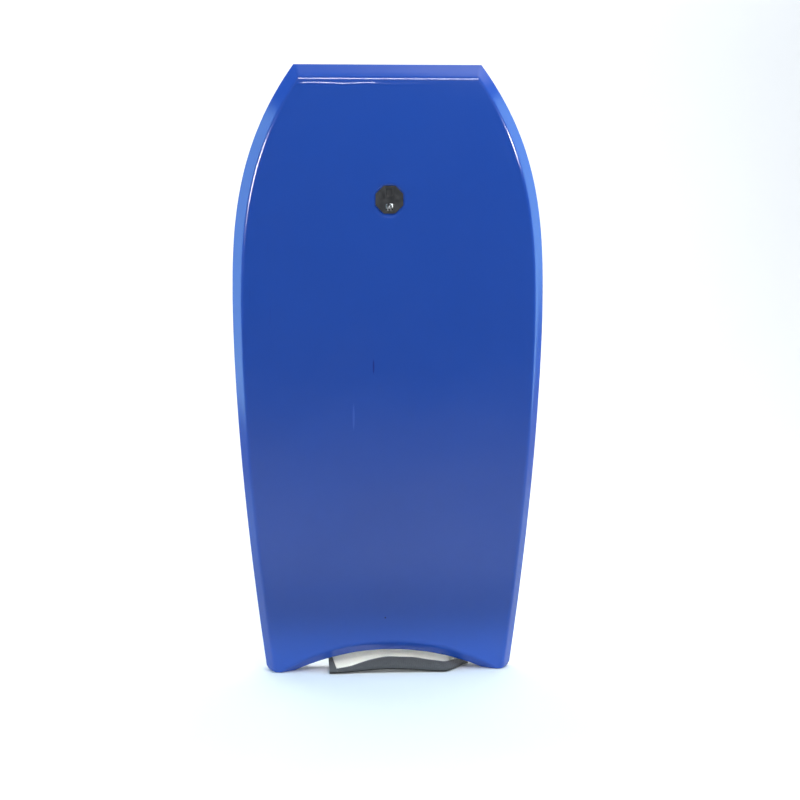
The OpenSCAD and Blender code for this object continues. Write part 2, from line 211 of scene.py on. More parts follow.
class Paint:
    """A material under construction, with short calls for the nodes used here."""

    def __init__(self, name, roughness, metallic=0.0):
        self.material = bpy.data.materials.new(name)
        self.material.use_nodes = True
        self.tree = self.material.node_tree
        self.shader = self.tree.nodes["Principled BSDF"]
        self.shader.inputs["Roughness"].default_value = roughness
        self.shader.inputs["Metallic"].default_value = metallic
        self.place = self.tree.nodes.new("ShaderNodeTexCoord").outputs["Object"]

    def node(self, kind, inputs=(), **values):
        made = self.tree.nodes.new(kind)
        for key, value in values.items():
            setattr(made, key, value)
        for key, value in dict(inputs).items():
            if isinstance(value, bpy.types.NodeSocket):
                self.tree.links.new(value, made.inputs[key])
            else:
                made.inputs[key].default_value = value
        return made

    def stretched(self, scale):
        return self.node("ShaderNodeMapping", {"Vector": self.place, "Scale": scale}).outputs[0]

    def noise(self, scale, detail=4.0, roughness=0.5, place=None):
        inputs = {"Vector": place or self.place, "Scale": scale, "Detail": detail,
                  "Roughness": roughness}
        return self.node("ShaderNodeTexNoise", inputs).outputs["Fac"]

    def cells(self, scale):
        inputs = {"Vector": self.place, "Scale": scale}
        return self.node("ShaderNodeTexVoronoi", inputs).outputs["Distance"]

    def bands(self, scale, direction, distortion):
        inputs = {"Vector": self.place, "Scale": scale, "Distortion": distortion}
        return self.node("ShaderNodeTexWave", inputs, bands_direction=direction).outputs["Fac"]

    def maths(self, operation, a, b=0.0, c=0.0):
        made = self.node("ShaderNodeMath", {0: a, 1: b, 2: c}, operation=operation)
        return made.outputs[0]

    def spread(self, value, from_low, from_high, low, high):
        """A value's range moved to another range, held at its ends."""
        inputs = {"Value": value, "From Min": from_low, "From Max": from_high,
                  "To Min": low, "To Max": high}
        return self.node("ShaderNodeMapRange", inputs).outputs[0]

    def colours(self, factor, low, high):
        inputs = {"Factor": factor, 6: low, 7: high}
        for key in (6, 7):
            if isinstance(inputs[key], tuple):
                inputs[key] = (*inputs[key], 1.0)
        return self.node("ShaderNodeMix", inputs, data_type="RGBA").outputs[2]

    def colour(self, socket):
        self.tree.links.new(socket, self.shader.inputs["Base Color"])

    def rough(self, socket):
        self.tree.links.new(socket, self.shader.inputs["Roughness"])

    def bump(self, layers):
        """Bump from (height, depth in metres) layers."""
        normal = None
        for height, depth in layers:
            inputs = {"Height": height, "Distance": depth, "Strength": 1.0}
            if normal:
                inputs["Normal"] = normal
            normal = self.node("ShaderNodeBump", inputs).outputs[0]
        self.tree.links.new(normal, self.shader.inputs["Normal"])

    def mark(self, x, z, radius, stretch):
        """1 inside a small blemish on the slick face, which is stretched along the board."""
        middle = (x, BOARD_Y - HALF, z / stretch)
        place = self.stretched((1.0, 1.0, 1.0 / stretch))
        away = self.node("ShaderNodeVectorMath", {0: place, 1: middle}, operation="DISTANCE")
        return self.spread(away.outputs["Value"], radius * 0.6, radius, 1.0, 0.0)

    def height(self):
        return self.node("ShaderNodeSeparateXYZ", {0: self.place}).outputs[2]


# Blemishes of the slick face: x, z, radius, and how far each is stretched along the board
PALE_STREAK = (-0.061, 0.443, 0.0022, 12.0)
DARK_STREAK = (-0.027, 0.529, 0.0016, 9.0)
PINHOLE = (-0.007, 0.094, 0.0017, 1.0)


def slick_material():
    """Glossy royal-blue plastic sheet over foam, with fine grain and light wear, and painted light
    from above that makes it lighter towards the nose.
    """
    paint = Paint("slick_plastic", 0.2)
    # painted light: the blue blends from the darker low colour near the tail to the lighter high
    # colour at the nose, standing in for light from above
    low = (0.014, 0.056, 0.29)
    high = (0.015, 0.072, 0.40)
    body = paint.colours(paint.spread(paint.height(), 0.1, 0.95, 0.0, 1.0), low, high)
    cloud = paint.noise(5.0, 3.0)
    body = paint.colours(paint.spread(cloud, 0.35, 0.7, 0.0, 0.16), body, (0.02, 0.09, 0.46))
    streak = paint.noise(1.0, 3.0, 0.6, paint.stretched((160.0, 160.0, 9.0)))
    scuff = paint.spread(streak, 0.68, 0.8, 0.0, 1.0)
    patch = paint.spread(paint.noise(3.0, 2.0), 0.5, 0.62, 0.0, 0.35)
    scuff = paint.maths("MULTIPLY", scuff, patch)
    body = paint.colours(scuff, body, (0.012, 0.03, 0.2))
    body = paint.colours(paint.mark(*PALE_STREAK), body, (0.03, 0.09, 0.42))
    body = paint.colours(paint.mark(*DARK_STREAK), body, (0.01, 0.03, 0.22))
    paint.colour(paint.colours(paint.mark(*PINHOLE), body, (0.0, 0.005, 0.03)))
    paint.rough(paint.spread(paint.noise(14.0, 5.0, 0.6), 0.3, 0.75, 0.13, 0.22))
    paint.shader.inputs["IOR"].default_value = 1.43
    grain = paint.noise(1100.0, 2.0)
    peel = paint.noise(240.0, 3.0)
    paint.bump([(grain, 0.00002), (peel, 0.00003)])
    return paint.material


def foam_material(name, low, high, pebble, depth):
    """Closed-cell foam sheet with a fine pebbled skin."""
    paint = Paint(name, 0.62)
    paint.colour(paint.colours(paint.spread(paint.noise(9.0, 5.0), 0.3, 0.7, 0.0, 1.0), low, high))
    paint.rough(paint.spread(paint.noise(60.0, 3.0), 0.3, 0.7, 0.52, 0.72))
    pits = paint.spread(paint.cells(pebble), 0.0, 0.7, 1.0, 0.0)
    paint.bump([(pits, depth), (paint.noise(pebble * 2.5, 2.0), depth * 0.4)])
    return paint.material


def moulded_material(name, low, high, roughness, grain=900.0, depth=0.00002):
    """Moulded plastic or rubber with a fine spark-eroded grain."""
    paint = Paint(name, roughness)
    paint.colour(paint.colours(paint.spread(paint.noise(35.0, 4.0), 0.3, 0.7, 0, 1), low, high))
    paint.rough(paint.spread(paint.noise(120.0, 3.0), 0.3, 0.7, roughness * 0.8, roughness * 1.2))
    paint.bump([(paint.noise(grain, 2.0), depth)])
    return paint.material


def metal_material():
    """Tumbled stainless steel with fine turning marks."""
    paint = Paint("swivel_metal", 0.26, 1.0)
    shade = paint.spread(paint.noise(90.0, 5.0), 0.3, 0.7, 0.0, 1.0)
    paint.colour(paint.colours(shade, (0.55, 0.56, 0.58), (0.75, 0.76, 0.78)))
    paint.rough(paint.spread(paint.noise(400.0, 3.0), 0.3, 0.7, 0.2, 0.36))
    paint.bump([(paint.noise(1500.0, 2.0), 0.00001)])
    return paint.material


def knit_material(name, low, high, scale, depth, roughness=0.9):
    """Knitted or woven cloth: fine crossed ribs with fuzz."""
    paint = Paint(name, roughness)
    fuzz = paint.noise(700.0, 4.0, 0.7)
    paint.colour(paint.colours(paint.spread(fuzz, 0.3, 0.75, 0.0, 1.0), low, high))
    along = paint.bands(scale, "X", 0.6)
    across = paint.bands(scale, "DIAGONAL", 0.6)
    weave = paint.maths("MULTIPLY", along, across)
    paint.bump([(weave, depth), (fuzz, depth * 0.6)])
    paint.shader.inputs["Sheen Weight"].default_value = 0.25
    return paint.material


def cord_material():
    """Dark tinted urethane cord."""
    paint = Paint("cord_rubber", 0.24)
    tint = paint.spread(paint.noise(18.0, 3.0), 0.3, 0.7, 0.0, 1.0)
    paint.colour(paint.colours(tint, (0.008, 0.009, 0.012), (0.02, 0.022, 0.03)))
    paint.rough(paint.spread(paint.noise(200.0, 3.0), 0.3, 0.7, 0.18, 0.34))
    paint.bump([(paint.noise(900.0, 2.0), 0.00001)])
    return paint.material


SLICK = slick_material()
DECK = foam_material("deck_foam", (0.012, 0.02, 0.07), (0.018, 0.03, 0.10), 420.0, 0.00022)
RAIL = foam_material("rail_foam", (0.014, 0.045, 0.26), (0.018, 0.055, 0.31), 700.0, 0.0001)
CORE = foam_material("core_foam", (0.7, 0.7, 0.68), (0.8, 0.8, 0.78), 500.0, 0.0002)
PLUG = moulded_material("plug_plastic", (0.003, 0.0035, 0.006), (0.006, 0.007, 0.010), 0.46)
RUBBER = moulded_material("end_rubber", (0.010, 0.010, 0.011), (0.018, 0.018, 0.02), 0.5)
CORD = cord_material()
METAL = metal_material()
STRING = knit_material("string_nylon", (0.62, 0.64, 0.66), (0.85, 0.87, 0.88), 700.0, 0.00008, 0.7)
WEBBING = knit_material("webbing", (0.012, 0.012, 0.014), (0.03, 0.03, 0.033), 330.0, 0.00018)
NEOPRENE = knit_material("cuff_neoprene", (0.007, 0.008, 0.009), (0.02, 0.022, 0.024), 420.0,
                         0.0001)
BINDING = knit_material("binding_tape", (0.02, 0.022, 0.025), (0.05, 0.055, 0.06), 300.0, 0.00016)
LINING = knit_material("cuff_lining_cloth", (0.82, 0.78, 0.64), (0.94, 0.92, 0.80), 380.0,
                       0.00012, 0.85)
HOOKS = knit_material("touch_hooks", (0.74, 0.72, 0.62), (0.90, 0.88, 0.78), 620.0, 0.0003, 0.8)
PILE = knit_material("touch_pile", (0.006, 0.006, 0.007), (0.03, 0.03, 0.032), 520.0, 0.0003, 1.0)
THREAD = knit_material("thread", (0.25, 0.26, 0.27), (0.4, 0.41, 0.42), 900.0, 0.00005, 0.7)

# --- Camera ----------------------------------------------------------------------------------

CAMERA_AZIMUTH = math.radians(-4.0)
CAMERA_ELEVATION = math.radians(5.5)
CAMERA_DISTANCE = 3.06
CAMERA_TARGET = Vector((0.0, 0.0, LENGTH / 2))


def make_camera():
    data = bpy.data.cameras.new("camera")
    data.lens = 80.0
    data.sensor_width = 36.0
    data.shift_x = 0.015
    data.shift_y = -0.0375
    data.clip_start = 0.1
    data.clip_end = 60.0
    camera = bpy.data.objects.new("camera", data)
    bpy.context.scene.collection.objects.link(camera)
    back = Vector((
        math.sin(CAMERA_AZIMUTH) * math.cos(CAMERA_ELEVATION),
        -math.cos(CAMERA_AZIMUTH) * math.cos(CAMERA_ELEVATION),
        math.sin(CAMERA_ELEVATION),
    ))
    camera.location = CAMERA_TARGET + back * CAMERA_DISTANCE
    camera.rotation_mode = "QUATERNION"
    camera.rotation_quaternion = (-back).to_track_quat("-Z", "Y")
    bpy.context.scene.camera = camera


make_camera()

# --- Leash cord ------------------------------------------------------------------------------


def make_cord():
    """The cord's line, a round curve along its route that stands for the CAD cord."""
    points = smooth([Vector(p) * MM for p in CORD_ROUTE], 6)
    curve = bpy.data.curves.new("leash_line", "CURVE")
    curve.dimensions = "3D"
    curve.bevel_depth = CORD_D / 2
    curve.bevel_resolution = 5
    spline = curve.splines.new("POLY")
    spline.points.add(len(points) - 1)
    for place, point in zip(spline.points, points):
        place.co = (*point, 1.0)
    spline.use_smooth = True
    cord = bpy.data.objects.new("leash_line", curve)
    bpy.context.scene.collection.objects.link(cord)
    curve.materials.append(CORD)
    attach(cord, "board")
    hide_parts("leash_cord")
    return cord


def ribbed_end(name, centre, axis, body, node):
    """A moulded, tapered strain relief with ribs, thickest at its swivel."""
    length = CORD_END_LENGTH
    profile = [(0.0005, 0.0), (SWIVEL_R - 0.002, 0.0002), (SWIVEL_R - 0.0007, 0.0012),
               (SWIVEL_R - 0.0005, 0.003), (SWIVEL_R - 0.0007, 0.008)]
    ribs = 8
    for i in range(ribs):
        at = mix(0.0095, length - 0.003, i / ribs)
        step = (length - 0.0125) / ribs
        r = mix(SWIVEL_R - 0.001, CORD_D / 2 + 0.0007, (i / ribs) ** 0.8)
        profile += [(r, at), (r + 0.0001, at + step * 0.3), (r - 0.0006, at + step * 0.5),
                    (r - 0.0006, at + step * 0.75)]
    profile += [(CORD_D / 2 + 0.0006, length - 0.002), (CORD_D / 2 + 0.0003, length - 0.0004),
                (CORD_D / 2 - 0.0002, length)]
    bm = bmesh.new()
    add_lathe(bm, profile, centre, axis, 48)
    outward(bm)
    return add_mesh(name, bm, RUBBER, body, (node,), 60)


def swivel_barrel(name, centre, axis, body, node):
    """A turned steel barrel with chamfered ends, grip flutes and two grooves."""
    half = SWIVEL_LENGTH / 2
    bore = 0.0016
    profile = [(bore, -half + 0.003), (bore, -half), (SWIVEL_R - 0.0012, -half),
               (SWIVEL_R - 0.0003, -half + 0.0012), (SWIVEL_R, -half + 0.002),
               (SWIVEL_R, -half + 0.0034), (SWIVEL_R - 0.0005, -half + 0.0038),
               (SWIVEL_R - 0.0005, -half + 0.0044), (SWIVEL_R, -half + 0.0048)]
    profile += [(SWIVEL_R, -half + 0.0055), (SWIVEL_R, 0.0)]
    profile += [(r, -a) for r, a in reversed(profile[:-1])]

    def flutes(angle, along):
        middle = ease((half - 0.0052 - abs(along)) / 0.0004)
        return 1.0 - 0.045 * middle * (0.5 + 0.5 * math.cos(20 * angle))

    bm = bmesh.new()
    add_lathe(bm, profile, centre, axis, 160, flutes)
    outward(bm)
    return add_mesh(name, bm, METAL, body, (node,), 50)


def braided_string():
    """The plug's tie, one length of braid from its knot through the swivel and back."""
    origin = Vector((0.0, BOARD_Y + HALF, PLUG_Z))
    line = smooth([origin + Vector(p) * MM for p in STRING_ROUTE], 16)
    strands = 4
    pitch = 0.0085

    def braid(angle, along):
        turn = 2 * math.pi * along / pitch
        return 0.97 + 0.09 * math.sin(strands * angle + turn * 2) * math.sin(
            strands * angle - turn * 2)

    bm = bmesh.new()
    add_tube(bm, line, STRING_D / 2, 24, (1, 0, 0), braid)
    outward(bm)
    return add_mesh("tie_braid", bm, STRING, "board", ("leash_string",), 180)


def string_knot():
    """An overhand knot of the same braid, with its two cut and melted tails."""
    centre = Vector((0.0, BOARD_Y + HALF - 0.046, PLUG_Z - 0.0115))
    turns = 72
    line = []
    for i in range(turns + 1):
        t = 2 * math.pi * i / turns
        line.append(centre + Vector((
            0.0021 * (math.sin(t) + 0.9 * math.sin(2 * t)),
            0.0021 * (math.cos(t) - 0.9 * math.cos(2 * t)) * 0.9,
            0.0020 * -math.sin(3 * t),
        )))
    bm = bmesh.new()
    add_tube(bm, line, STRING_D / 2 * 0.92, 16, (0, 0, 1))
    for side in (-1, 1):
        tail = [
            centre + Vector((side * 0.0012, 0.0, 0.0)),
            centre + Vector((side * 0.0022, -0.0004, -0.0024)),
            centre + Vector((side * 0.0025, -0.0002, -0.0047)),
            centre + Vector((side * 0.0023, 0.0002, -0.0067)),
        ]
        tail = smooth(tail, 5)
        melt = (tail[-1] - tail[0]).length

        def taper(angle, along, melt=melt):
            return 0.86 + 0.22 * ease((along - melt + 0.0012) / 0.0012)

        add_tube(bm, tail, STRING_D / 2 * 0.9, 16, (0, 1, 0), taper)
    outward(bm)
    return add_mesh("tie_knot", bm, STRING, "board", ("string_knot",), 60)


# --- Board -----------------------------------------------------------------------------------

NOSE_ROWS = 48
SIDE_ROWS = 96
TIP_ROWS = 14
CORNER_STEPS = 8
ARCH_STEPS = 44
COLUMNS = 60
TAIL_ROW_Z = 0.085
# Half size of the part of each sheet that is remade round the plug's hole, and its rings
HOLE_PATCH = 0.040
HOLE_RINGS = 12
FACE_ROWS = NOSE_ROWS + SIDE_ROWS
TIP_END = FACE_ROWS + TIP_ROWS + CORNER_STEPS + 1
HALF_COUNT = TIP_END + ARCH_STEPS + 1
LAST = 2 * HALF_COUNT - 2

SLICK_EDGE = (0.0, 0.0, -0.008)
SLICK_FACE = (1.0, 0.0, -HALF)
DECK_EDGE = (0.0, 0.0, 0.004)
DECK_FACE = (DECK_SHARE, 0.0, HALF)


def half_width(z):
    if z > WIDE_Z:
        share = ((z - WIDE_Z) / (LENGTH - WIDE_Z)) ** FRONT_FULLNESS
        return 0.5 * mix(BOARD_WIDTH, NOSE_WIDTH, share)
    return 0.5 * mix(BOARD_WIDTH, TAIL_WIDTH, ((WIDE_Z - z) / WIDE_Z) ** REAR_FULLNESS)


def rocker(z):
    return NOSE_LIFT * (max(0.0, z - ROCKER_Z) / (LENGTH - ROCKER_Z)) ** 2


def side_x(z, place):
    return half_width(z) - place[0] * mix(CHAMFER_TAIL, CHAMFER_NOSE, (z / LENGTH) ** 3) - place[1]


def arch(x, chord, rise):
    r = (chord * chord + rise * rise) / (2 * rise)
    return rise - r + math.sqrt(r * r - x * x)


def half_outline(place):
    """The right half of the outline at one station, from the nose corner to the arch's top."""
    top = LENGTH - place[0] * CHAMFER_NOSE - place[1]
    foot = max(place[1], 0.0)
    tip = mix(TIP_FOOT, TIP_EDGE, place[0])
    corner = mix(FOOT_CORNER, EDGE_CORNER, place[0])
    foot_x = side_x(foot, place)
    chord = foot_x - tip
    rise = TAIL_RISE + place[0] * CHAMFER_ARCH
    heights = [mix(top, ROCKER_Z, (i / NOSE_ROWS) ** 1.6) for i in range(NOSE_ROWS + 1)]
    heights += [mix(ROCKER_Z, TAIL_ROW_Z, i / SIDE_ROWS) for i in range(1, SIDE_ROWS + 1)]
    heights += [mix(TAIL_ROW_Z, foot + corner, i / TIP_ROWS) for i in range(1, TIP_ROWS + 1)]
    points = [(side_x(z, place), z) for z in heights]
    for i in range(1, CORNER_STEPS + 1):
        a = math.pi / 2 * i / CORNER_STEPS
        points.append((foot_x - corner * (1 - math.cos(a)), foot + corner * (1 - math.sin(a))))
    for i in range(ARCH_STEPS + 1):
        x = chord * (1 - i / ARCH_STEPS)
        points.append((x, foot + arch(x, chord, rise)))
    return points


def board_ring(place):
    """The whole outline at one station: down the right side, up the left, along the nose."""
    right = half_outline(place)
    left = [(-x, z) for x, z in reversed(right[:-1])]
    width, top = right[0]
    nose = [(mix(-width, width, k / COLUMNS), top) for k in range(1, COLUMNS)]
    return [Vector((x, BOARD_Y + place[2] + rocker(z), z)) for x, z in right + left + nose]


def rounded_rings(edge, face, fillet, steps=7):
    """Rings from the edge over a rounded corner on to the face."""
    outer, corner = board_ring(edge), board_ring(face)
    inner = board_ring((face[0], fillet, face[2]))
    rings = [outer, [mix(a, b, 0.5) for a, b in zip(outer, corner)]]
    for s in range(steps + 1):
        t = s / steps
        ring = []
        for a, b, c in zip(outer, corner, inner):
            start = b + (a - b).normalized() * fillet
            ring.append(start * (1 - t) ** 2 + b * 2 * t * (1 - t) + c * t * t)
        rings.append(ring)
    rings.append(board_ring((face[0], fillet + 0.001, face[2])))
    return rings


def face_wave(x, z, half_x, top):
    """Slow ripples of a laminated sheet, none at its borders."""
    fade = ease((half_x - abs(x)) / 0.05) * ease((top - z) / 0.05) * ease((z - TAIL_ROW_Z) / 0.05)
    slow = noise.noise(Vector((x * 5.0, z * 5.0, 1.7)))
    quick = noise.noise(Vector((x * 17.0, z * 13.0, 6.1)))
    return fade * (0.0005 * slow + 0.00012 * quick)


def nose_crease(x, z, top):
    """A wavy wrinkle just under the nose's edge, which fades out to the right."""
    line = top - 0.0042 - 0.0009 * math.sin(x * 70 + 1.0) - 0.0008 * noise.noise(
        Vector((x * 25.0, 2.0, 0.0)))
    strength = 0.0013 * ease((0.12 - x) / 0.2) * (0.7 + 0.5 * noise.noise(
        Vector((x * 40.0, 9.0, 0.0))))
    return strength * math.exp(-(((z - line) / 0.0016) ** 2)) * ease((top - z) / 0.0015)


def board_sheet(name, edge, face, fillet, thickness, hole, details, material, node):
    """A sheet over one side of the board, wrapped round its edge, with the plug's hole."""
    rings = rounded_rings(edge, face, fillet)
    front = -1 if face[2] < 0 else 1
    top = rings[-1][0].z
    bm = bmesh.new()
    made = [[bm.verts.new(p) for p in ring] for ring in rings]
    for a, b in zip(made, made[1:]):
        bridge(bm, a, b)
    inner = made[-1]

    def surface(x, z, half_x):
        y = BOARD_Y + face[2] + rocker(z)
        return Vector((x, y + front * details(x, z, half_x, top), z))

    grid = []
    for i in range(FACE_ROWS + 1):
        right, left = inner[i], inner[LAST - i]
        if i == 0:
            row = [left] + [inner[LAST + k] for k in range(1, COLUMNS)] + [right]
        else:
            row = [left]
            for k in range(1, COLUMNS):
                x = mix(left.co.x, right.co.x, k / COLUMNS)
                row.append(bm.verts.new(surface(x, right.co.z, right.co.x)))
            row.append(right)
        grid.append(row)

    rows = [i for i in range(FACE_ROWS) if abs(grid[i][0].co.z - PLUG_Z) < HOLE_PATCH]
    columns = [k for k in range(COLUMNS) if abs(grid[rows[0]][k].co.x) < HOLE_PATCH]
    for i in range(FACE_ROWS):
        for k in range(COLUMNS):
            if i in rows[:-1] and k in columns[:-1]:
                continue
            bm.faces.new((grid[i][k], grid[i][k + 1], grid[i + 1][k + 1], grid[i + 1][k]))

    first, last = rows[0], rows[-1]
    low, high = columns[0], columns[-1]
    border = [grid[first][k] for k in range(low, high)]
    border += [grid[i][high] for i in range(first, last)]
    border += [grid[last][k] for k in range(high, low, -1)]
    border += [grid[i][low] for i in range(last, first, -1)]
    centre = Vector((0.0, PLUG_Z))
    outer = border
    for j in range(1, HOLE_RINGS + 1):
        share = (1 - j / HOLE_RINGS) ** 1.4
        loop = []
        for v in border:
            away = Vector((v.co.x, v.co.z)) - centre
            spot = centre + away.normalized() * mix(hole, away.length, share)
            half_x = half_width(v.co.z)
            loop.append(bm.verts.new(surface(spot.x, spot.y, half_x)))
        bridge(bm, outer, loop)
        outer = loop
    bottom = grid[FACE_ROWS]
    bm.faces.new(
        [inner[i] for i in range(FACE_ROWS, LAST - FACE_ROWS + 1)] + bottom[1:-1]
    )
    bmesh.ops.delete(bm, geom=[v for v in bm.verts if not v.link_faces], context="VERTS")
    outward(bm)
    bm.faces.ensure_lookup_table()
    if sum(f.normal.y * f.calc_area() for f in bm.faces) * front < 0:
        bmesh.ops.reverse_faces(bm, faces=bm.faces)
    bmesh.ops.solidify(bm, geom=bm.faces[:], thickness=thickness)
    outward(bm)
    return add_mesh(name, bm, material, "board", (node,), 35)


def slick_details(x, z, half_x, top):
    ring = math.hypot(x, z - PLUG_Z)
    pucker = 0.0007 * math.exp(-(((ring - 0.0275) / 0.003) ** 2))
    dent = -0.0010 * math.exp(-(((ring - 0.0215) / 0.003) ** 2))
    return face_wave(x, z, half_x, top) + nose_crease(x, z, top) + pucker + dent


def deck_details(x, z, half_x, top):
    ring = math.hypot(x, z - PLUG_Z)
    dent = -0.0008 * math.exp(-(((ring - 0.024) / 0.004) ** 2))
    return face_wave(x, z, half_x, top) * 1.5 + dent


def foam_strip(name, first, last, node):
    """A foam strip of the edge, with a slight crown between the slick and the deck."""
    section = [(0.0, 0.004, -0.0079), (0.0, 0.0001, -0.0079), (0.0, -0.0002, -0.0070),
               (0.0, -0.0004, -0.0045), (0.0, -0.0005, -0.002), (0.0, -0.0004, 0.0005),
               (0.0, -0.0002, 0.0030), (0.0, 0.0001, 0.0039), (0.0, 0.005, 0.0039),
               (1.0, 0.003, 0.0215), (1.0, 0.003, -0.0225)]
    rings = [board_ring(place) for place in section]
    count = len(rings[0])
    bm = bmesh.new()
    add_rows(bm, [[ring[i % count] for ring in rings] for i in range(first, last + 1)])
    outward(bm)
    return add_mesh(name, bm, RAIL, "board", (node,), 35)


# --- Cuff ------------------------------------------------------------------------------------

CUFF_LEFT = -0.104
CUFF_RIGHT = 0.140
CUFF_WIDTH = 0.056
CUFF_TOP_Y = 0.005
CUFF_FOOT_Z = 0.0026
CUFF_HUMP = 0.005
CUFF_HUMP_LENGTH = 0.190
CUFF_TURN_START = 0.092
CUFF_TURN_BACK = 0.044
CUFF_TURN_LIFT = 0.001
ARCH_GAP = 0.0032
SHELL = 0.0025
LINING_SHEET = 0.0015
# Share of the cuff's width up to which its lining and end tape reach
LINING_TOP = 0.97


def cuff_turn(x):
    return ease((x - CUFF_TURN_START) / (CUFF_RIGHT - CUFF_TURN_START))


def cuff_point(u, v, h):
    """u runs along the cuff, v from its foot to its head, and h stands off its front."""
    x = mix(CUFF_LEFT, CUFF_RIGHT, u)
    foot = CUFF_FOOT_Z + CUFF_HUMP * (1 + math.cos(2 * math.pi * x / CUFF_HUMP_LENGTH)) / 2
    foot += CUFF_TURN_LIFT * cuff_turn(x)
    head = arch(x, side_x(0.0, DECK_EDGE) - TIP_FOOT, TAIL_RISE) - ARCH_GAP
    up = head - foot
    back = math.sqrt(CUFF_WIDTH ** 2 - up * up)
    foot_y = CUFF_TOP_Y + CUFF_TURN_BACK * cuff_turn(x) - back
    return Vector((x, foot_y + back * v - h * up / CUFF_WIDTH,
                   foot + up * v + h * back / CUFF_WIDTH))


def edge_roll(u, v, start, end, low, high, roll):
    """0 at a layer's border and 1 inside it, along a quarter round of the given size."""
    length = CUFF_RIGHT - CUFF_LEFT
    gap = min((u - start) * length, (end - u) * length, (v - low) * CUFF_WIDTH,
              (high - v) * CUFF_WIDTH)
    t = min(max(gap / roll, 0.0), 1.0)
    return math.sqrt(1 - (1 - t) ** 2)


def seam(u):
    """Share of the cuff's width at which its tape gives way to the lining."""
    wobble = 0.03 * noise.noise(Vector((u * 9.0, 4.0, 0.0)))
    return mix(0.16, 0.56, ease(u / 0.45)) - 0.07 * ease((u - 0.5) / 0.4) + wobble


def slanted_end(v):
    """Share of the cuff's length at which the tape round its left end stops."""
    return 0.022 + 0.036 * (1 - v)


def limit(value, share):
    return value(share) if callable(value) else value


def cuff_layer(name, span, rise, depth, ripple, material, node, cells=(200, 26),
               roll=0.0012):
    """A padded layer of the cuff between limits along its length and across its width.

    The limits are shares, or functions of the share the other way.
    """
    back, front = depth
    columns, rows = cells
    middle = (back + front) / 2
    bm = bmesh.new()
    faces = []
    for side in (front, back):
        grid = []
        for i in range(columns + 1):
            row = []
            for j in range(rows + 1):
                v = mix(limit(rise[0], i / columns), limit(rise[1], i / columns), j / rows)
                start, end = limit(span[0], v), limit(span[1], v)
                u = mix(start, end, i / columns)
                low, high = limit(rise[0], u), limit(rise[1], u)
                v = mix(low, high, j / rows)
                inside = edge_roll(u, v, start, end, low, high, roll)
                h = middle + (side - middle) * mix(0.25, 1.0, inside)
                if side == front:
                    h += ripple(u, v) * inside
                row.append(bm.verts.new(cuff_point(u, v, h)))
            grid.append(row)
        for i in range(columns):
            bridge(bm, grid[i], grid[i + 1], closed=False)
        faces.append(grid)
    rims = []
    for grid in faces:
        rim = [row[0] for row in grid] + grid[-1][1:]
        rim += [row[-1] for row in reversed(grid[:-1])] + list(reversed(grid[0][1:-1]))
        rims.append(rim)
    bridge(bm, rims[0], rims[1])
    outward(bm)
    return add_mesh(name, bm, material, "board", (node,), 60)


def lining_ripple(u, v):
    x = u * 14.0
    folds = noise.noise(Vector((x, v * 2.5, 0.4)))
    fine = noise.noise(Vector((x * 3.4, v * 6.0, 3.0)))
    return 0.0009 * folds + 0.00035 * fine


def shell_ripple(u, v):
    return 0.0003 * noise.noise(Vector((u * 16.0, v * 3.0, 8.0)))


def binding_ripple(u, v):
    pinch = 0.00025 * math.sin(u * 2 * math.pi * 74)
    return pinch + 0.0004 * noise.noise(Vector((u * 22.0, v * 5.0, 5.0)))


def stitch_row(name, start, end, step, h, pitch=0.0036, radius=0.00032):
    """A row of thread stitches along the cuff's seam, a step across from it."""
    length = (CUFF_RIGHT - CUFF_LEFT) * (end - start)
    count = int(length / pitch)
    bm = bmesh.new()
    for i in range(count):
        a = mix(start, end, (i + 0.15) / count)
        b = mix(start, end, (i + 0.85) / count)
        line = [cuff_point(mix(a, b, t), seam(a) + step, h + radius * (0.2 + 2.2 * t * (1 - t)))
                for t in (0.0, 0.25, 0.5, 0.75, 1.0)]
        add_tube(bm, line, radius, 6, (0, 0, 1))
    outward(bm)
    return add_mesh(name, bm, THREAD, "board", (), 60)


def cuff_tab():
    """A webbing loop through the lower eye, sewn to the back of the cuff."""
    u = (LOWER_EYE.x - CUFF_LEFT) / (CUFF_RIGHT - CUFF_LEFT)
    root = cuff_point(u, 0.5, -SHELL)
    tail = cuff_point(u, 0.75, -SHELL)
    ring_top = LOWER_EYE.z + EYE_R
    web = 0.0015
    y, z = LOWER_EYE.y, LOWER_EYE.z
    route = [(root.y + 0.0004, root.z), (y - 0.014, z + 0.0016), (y - 0.003, z + 0.00225),
             (y + 0.0018, z + 0.0026), (y + 0.0031, z + 0.0056),
             (y + 0.0027, ring_top + 0.0016), (y + 0.0006, ring_top + 0.0029),
             (y - 0.003, ring_top + 0.00295), (y - 0.014, ring_top + 0.0026),
             (tail.y + 0.0004, tail.z)]
    line = smooth([Vector((LOWER_EYE.x, a, b)) for a, b in route], 8)
    width = 0.008
    rows = []
    for point, heading in zip(line, headings(line)):
        up = Vector((1, 0, 0)).cross(heading).normalized() * web / 2
        row = []
        for share, thick in ((-0.5, 0.4), (-0.44, 1.0), (-0.2, 0.9), (0, 0.95), (0.2, 0.9),
                             (0.44, 1.0), (0.5, 0.4)):
            row.append(point + Vector((share * width, 0, 0)) + up * thick)
        for share, thick in ((0.5, 0.4), (0.44, 1.0), (0.2, 0.9), (0, 0.95), (-0.2, 0.9),
                             (-0.44, 1.0), (-0.5, 0.4)):
            row.append(point + Vector((share * width, 0, 0)) - up * thick)
        rows.append(row)
    bm = bmesh.new()
    add_rows(bm, rows)
    outward(bm)
    return add_mesh("cuff_web", bm, WEBBING, "board", ("cuff_tab",), 50)


# --- Making everything -----------------------------------------------------------------------


